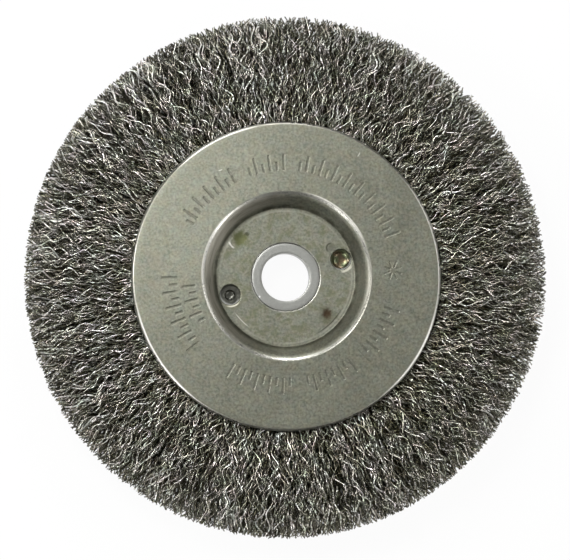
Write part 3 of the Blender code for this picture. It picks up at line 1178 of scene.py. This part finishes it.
@dataclass(frozen=True)
class CrimpedWires:
    """The loose crimped wires, from under the plates' skirts to the tips, with angles in degrees."""

    exit_radius: float = 0.0508
    exit_height: float = 0.0038
    flare_radius: float = 0.0800
    face_height: float = 0.0092
    tip_radius: float = 0.08595
    tip_scatter: float = 0.0014
    half_wave: float = 0.00435
    swing: float = 0.00116
    thickness: float = 0.00043
    bundle: int = 3
    bundle_gap: float = 0.00150
    lean: float = 3.6
    own_lean: float = 4.5
    stray_lean: float = 8.5
    stray_share: float = 0.14
    plane_scatter: float = 22.0
    twist: float = 20.0
    phase_scatter: float = 0.18
    swing_scatter: float = 0.26
    pull: float = 0.07
    own_pull: float = 0.06
    member_scatter: float = 0.35
    depth_scatter: float = 0.06
    thickness_scatter: float = 0.06
    dark_below: float = 0.51
    # Painted light: how much lighter the wires are towards the lit side, and that side's angle.
    painted_side_light: float = 0.24
    painted_lit_side: float = 158.0
    layers: tuple[WireLayer, ...] = (
        WireLayer("wires_front_top", Face.FRONT, 0.74, 1.00, 560, 16, 34.0, 0.024, 1.0),
        WireLayer("wires_front_outer", Face.FRONT, 0.58, 0.98, 1150, 11),
        WireLayer("wires_front_inner", Face.FRONT, 0.10, 0.66, 1300, 12, bend=PLAIN_BEND),
        WireLayer("wires_back_top", Face.BACK, 0.74, 1.00, 400, 17, 34.0, 0.024, 1.0),
        WireLayer("wires_back_outer", Face.BACK, 0.58, 0.98, 1150, 13),
        WireLayer("wires_back_inner", Face.BACK, 0.10, 0.66, 1100, 14, bend=PLAIN_BEND),
        WireLayer("wires_middle", Face.FRONT, -0.30, 0.30, 1100, 15, bends=3, bend=PLAIN_BEND),
    )

    def envelope(self, reach: Array) -> Array:
        """Height of the brush's face: a quarter of a sine, from the skirts' edge to the flare's end.

        Args:
            reach: Distances from the axis.

        Returns:
            The height at each.
        """
        part = np.clip((reach - self.exit_radius) / (self.flare_radius - self.exit_radius), 0.0, 1.0)
        rise = (self.face_height - self.exit_height) * np.sin(part * math.pi / 2)
        return self.exit_height + rise

    def centre_lines(self, layer: WireLayer) -> tuple[Array, Array, Array]:
        """The middle lines of one layer's wires.

        The bends of a wire stand half a wave apart, counted inwards from its tip, and swing to one side
        and the other in turn. The swing lies in a plane through the wire that is turned by its own angle
        from the wheel's plane, and turns further by the wire's twist with each bend. A wire also rises
        and dives between its layer's two heights as a slow sine along its length. Wires next to each
        other form bundles that share most of their phase, plane and lean. The tone grows towards the
        faces, a painted shade that darkens the deeper wires, and towards one side of the wheel, a painted
        light.

        Args:
            layer: The share of the wires.

        Returns:
            The (wires, points, 3) lines from root to tip, a tone for each of their points, about 0 to 1,
            and the thickness of each wire.
        """
        rng = np.random.default_rng(layer.seed)
        count = layer.count
        bundle = np.arange(count) // self.bundle
        bundles = int(bundle[-1]) + 1

        def scatter(shared: float, own: float) -> Array:
            """A random amount for each wire: one that its bundle shares, and one of its own."""
            return rng.normal(0.0, shared, bundles)[bundle] + rng.normal(0.0, own, count)

        phase = (0.4 + 0.8 * rng.random(bundles))[bundle] + rng.normal(0.0, self.phase_scatter, count)
        phase = np.clip(phase, 0.3, 1.3)
        plane = scatter(layer.plane, self.plane_scatter)
        lean = scatter(self.lean, self.own_lean)
        stray = rng.random(count) < self.stray_share
        lean = np.where(stray, rng.normal(0.0, self.stray_lean, count), lean)
        side = np.where(rng.random(bundles) < 0.5, -1.0, 1.0)[bundle]
        swing = self.swing * side * (1.0 + rng.normal(0.0, self.swing_scatter, count))
        half_wave = self.half_wave * (1.0 + np.clip(scatter(self.pull, self.own_pull), -0.08, 0.2))
        tip = self.tip_radius - self.tip_scatter * np.minimum(rng.exponential(1.0, count), 2.2)
        member = np.arange(count) % self.bundle - (self.bundle - 1) / 2
        middle = ((np.arange(bundles) + rng.uniform(-0.5, 0.5, bundles)) * math.tau / bundles)[bundle]
        aside = member + rng.normal(0.0, self.member_scatter, count)
        start = middle + aside * self.bundle_gap / self.flare_radius
        depth = rng.random(bundles)[bundle] + rng.normal(0.0, self.depth_scatter, count)
        thickness = self.thickness * (1.0 + rng.normal(0.0, self.thickness_scatter, count))

        number = np.arange(layer.bends)[::-1, None]
        after, height_share = np.array(layer.bend).T
        steps = phase[:, None] + (number - after).ravel()
        waves = np.concatenate([steps[:, :1] + 0.3, steps, np.zeros((count, 1))], axis=1)
        swings = np.empty_like(waves)
        swings[:, 1:-1] = ((-1.0) ** number * height_share).ravel()
        swings[:, 0] = 0.2 * (-1.0) ** (layer.bends - 1)
        swings[:, -1] = np.cos(phase * math.pi)

        reach = tip[:, None] - waves * half_wave[:, None]
        dive = layer.dive * (0.75 + 0.6 * rng.random(count))
        rise = 0.5 + 0.5 * np.sin((depth + reach.T / dive).T * math.tau)
        share = layer.low + (layer.high - layer.low) * rise
        offset = swings * swing[:, None]
        twist = rng.normal(0.0, self.twist, count)
        turn = np.radians(plane[:, None] + twist[:, None] * waves)
        sideways = offset * np.cos(turn) + np.tan(np.radians(lean))[:, None] * (reach - self.exit_radius)
        roof = self.envelope(reach)
        upright = np.abs(swing[:, None] * np.sin(turn))
        height = share * (roof - upright) + offset * np.sin(turn)
        # Painted shade: the tone fades to dark below dark_below of the way up to the face.
        out_of_shade = np.clip((height / roof - self.dark_below) / (1.0 - self.dark_below), 0.0, 1.0) ** 1.5
        tone = layer.shine * (0.26 + 0.62 * rng.random(count)[:, None] ** 1.5) * (0.03 + 0.97 * out_of_shade)
        height = height * layer.face.value
        angle = start[:, None] + sideways / reach
        # Painted light: the tone is raised towards the lit side and lowered opposite it.
        tone *= 1.0 + self.painted_side_light * np.cos(angle - math.radians(self.painted_lit_side))
        lines = np.stack([reach * np.cos(angle), reach * np.sin(angle), height], axis=-1)
        return lines, tone, thickness

    def tubes(self, name: str, lines: Array, thickness: Array, roll: Array) -> Mesh:
        """Three-sided tubes round the lines, closed at both ends, and shaded as round wire.

        A point's direction is the way from the point before it to the one after it. One arm is the cross
        product of that direction with Z and the other is square to both. The three corners stand a third
        of a turn apart on a circle in those arms, and a corner's normal is the way from the line to it.

        Args:
            name: The mesh's name.
            lines: The middle lines, (wires, points, 3).
            thickness: The thickness of each wire.
            roll: The angle of each wire's first corner, in radians.

        Returns:
            The mesh.
        """
        wires, points, _ = lines.shape
        ahead = np.gradient(lines, axis=1)
        ahead /= np.linalg.norm(ahead, axis=-1, keepdims=True)
        across = np.cross(ahead, np.array([0.0, 0.0, 1.0]))
        across /= np.linalg.norm(across, axis=-1, keepdims=True)
        above = np.cross(across, ahead)
        corner = roll[:, None] + np.arange(3) * math.tau / 3
        radius = (thickness / 2)[:, None, None, None]
        cos, sin = np.cos(corner)[:, None, :, None], np.sin(corner)[:, None, :, None]
        arms = cos * across[:, :, None] + sin * above[:, :, None]
        vertices = (lines[:, :, None] + radius * arms).reshape(-1, 3)
        first = (np.arange(wires) * points * 3)[:, None, None]
        faces = [(first + group).reshape(-1, group.shape[1]) for group in rod_faces(points, 3)]
        mesh = make_mesh(name, vertices, *faces)
        mesh.normals_split_custom_set_from_vertices(arms.reshape(-1, 3))
        return mesh

    def build(self, finish: WireSteel) -> None:
        """Draws every layer, with one steel for all of them.

        Args:
            finish: Their steel.
        """
        material = finish.dress()
        for layer in self.layers:
            lines, tone, thickness = self.centre_lines(layer)
            roll = np.random.default_rng(layer.seed + 100).random(len(tone)) * math.tau
            mesh = self.tubes(layer.name, lines, thickness, roll)
            shades = mesh.attributes.new("tone", "FLOAT", "POINT")
            shades.data.foreach_set("value", np.repeat(tone.ravel(), 3).astype(np.float32))
            add_piece(layer.name, mesh, material, "wire_steel", "wire_fill")


@dataclass(frozen=True)
class Lamp:
    """A square soft light that faces the wheel. Its azimuth is counted anticlockwise from +X."""

    name: str
    azimuth: float
    elevation: float
    distance: float
    size: float
    power: float


@dataclass(frozen=True)
class Studio:
    """The floor, the soft lights, the surroundings and the camera."""

    camera_distance: float = 2.5
    camera_tilt: float = 6.5
    camera_azimuth: float = 226.0
    wheel_centre: tuple[float, float] = (285.1, 277.7)
    pixel: float = 0.0003298
    sensor: float = 36.0
    floor_height: float = -0.0096
    floor_size: float = 3.0
    floor_white: float = 0.95
    covered: tuple[float, float] = (0.015, 0.076)
    lamps: tuple[Lamp, ...] = (
        Lamp("key", 134.0, 62.0, 0.60, 0.175, 1.88),
        Lamp("left", 172.0, 34.0, 0.66, 0.165, 1.60),
        Lamp("top", 88.0, 30.0, 0.66, 0.19, 1.45),
        Lamp("right", 342.0, 18.0, 1.2, 0.60, 2.0),
        Lamp("low_right", 325.0, 46.0, 1.2, 0.30, 1.6),
        Lamp("right_high", 25.0, 45.0, 1.2, 0.30, 1.8),
        Lamp("low_left", 226.0, 38.0, 1.2, 0.30, 2.8),
    )

    def build(self) -> None:
        """Sets up everything round the wheel."""
        self._floor()
        self._surroundings()
        for lamp in self.lamps:
            self._lamp(lamp)
        self._camera()
        bpy.context.scene.view_settings.view_transform = "Standard"

    def _floor(self) -> None:
        """A white floor that takes the wheel's shadow and looks dark where the wires lie on it."""
        half = self.floor_size / 2
        corners = [(-half, -half), (half, -half), (half, half), (-half, half)]
        mesh = bpy.data.meshes.new("floor")
        mesh.from_pydata([(x, y, self.floor_height) for x, y in corners], [], [(0, 1, 2, 3)])
        coat = Coating("floor_white")
        path = coat.node("ShaderNodeLightPath").outputs
        rays = [Signal(coat, path[f"Is {kind} Ray"]) for kind in ("Camera", "Glossy", "Transmission")]
        covered = coat.window(coat.reach, *self.covered, 0.005)
        factor = coat.highest(*rays) * self.floor_white * (1.0 - covered)
        paper = coat.node("ShaderNodeBsdfDiffuse", None, {"Color": (0.8, 0.8, 0.8, 1.0)})
        glow = coat.node("ShaderNodeEmission", None, {"Color": (1.0, 1.0, 1.0, 1.0), "Strength": 1.0})
        inputs = {0: factor, 1: paper.outputs[0], 2: glow.outputs[0]}
        mixed = coat.node("ShaderNodeMixShader", None, inputs)
        coat.node("ShaderNodeOutputMaterial", None, {"Surface": mixed.outputs[0]})
        mesh.materials.append(coat.material)
        floor = link_object("floor", mesh)

    def _surroundings(self) -> None:
        """A pale room, brighter overhead and towards the upper left.

        The level is a dim one plus a share that grows smoothly with the direction's part along the light
        side.
        """
        world = bpy.data.worlds.new("studio")
        bpy.context.scene.world = world
        world.use_nodes = True
        graph = Graph(world.node_tree)
        direction = graph.node("ShaderNodeTexCoord").outputs["Generated"]
        towards = Vector((-0.16, 0.15, 0.97)).normalized()
        along = graph.node(
            "ShaderNodeVectorMath",
            {"operation": "DOT_PRODUCT"},
            {0: direction, 1: tuple(towards)},
        )
        part = graph.smoothstep(Signal(graph, along.outputs["Value"]), -0.10, 0.95)
        colour = graph.blend(part, (0.035, 0.035, 0.033), (0.265, 0.265, 0.253))
        background = graph.node("ShaderNodeBackground", None, {"Color": colour, "Strength": 1.0})
        graph.node("ShaderNodeOutputWorld", None, {"Surface": background.outputs[0]})

    def _lamp(self, lamp: Lamp) -> None:
        """Adds one lamp and points it at the wheel.

        Args:
            lamp: The lamp's place, size and power.
        """
        light = bpy.data.lights.new(lamp.name, "AREA")
        light.shape = "SQUARE"
        light.size = lamp.size
        light.energy = lamp.power
        turn, rise = math.radians(lamp.azimuth), math.radians(lamp.elevation)
        way = Vector((math.cos(turn) * math.cos(rise), math.sin(turn) * math.cos(rise), math.sin(rise)))
        body = link_object(lamp.name, light)
        body.location = way * lamp.distance
        body.rotation_euler = way.to_track_quat("Z", "Y").to_euler()

    def _camera(self) -> None:
        """A camera above the front face, with +Y up in the picture.

        One pixel is the same length on the wheel's middle plane, so the lens is sensor * distance /
        picture width. The aim is off the axis by as much as the wheel's centre is off the middle of the
        picture.
        """
        width, height = IMAGE_SIZE
        aim = Vector(
            (
                (width / 2 - self.wheel_centre[0]) * self.pixel,
                (self.wheel_centre[1] - height / 2) * self.pixel,
                0.0,
            )
        )
        tilt, turn = math.radians(self.camera_tilt), math.radians(self.camera_azimuth)
        back = Vector((math.sin(tilt) * math.cos(turn), math.sin(tilt) * math.sin(turn), math.cos(tilt)))
        right = Vector((0.0, 1.0, 0.0)).cross(back).normalized()
        up = back.cross(right)
        data = bpy.data.cameras.new("camera")
        data.sensor_width = self.sensor
        data.lens = self.sensor * self.camera_distance / (width * self.pixel)
        data.clip_start = 0.05
        data.clip_end = 10.0
        camera = link_object("camera", data)
        camera.matrix_world = Matrix.Translation(aim + back * self.camera_distance) @ Matrix(
            (right, up, back)
        ).transposed().to_4x4()
        bpy.context.scene.camera = camera


def dress_ring(finish: RingSteel) -> None:
    """Gives the CAD model's own retaining ring its finish.

    Args:
        finish: Its steel.
    """
    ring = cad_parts["retaining_ring"]
    material = finish.dress()
    for slot in ring.material_slots:
        slot.material = material
    log.info("retaining_ring: kept from the CAD model")


def main() -> None:
    """Builds the wheel piece by piece, then the studio."""
    logging.basicConfig(level=logging.INFO, format="%(name)s %(message)s")
    pins = PinHoles()
    steel = PlateSteel()
    for face in Face:
        SidePlate().build(face, pins, steel)
    HubDisc().build(pins, HubSteel())
    dress_ring(RingSteel())
    CrimpedWires().build(WireSteel())
    Studio().build()


if __name__ == "__main__":
    main()
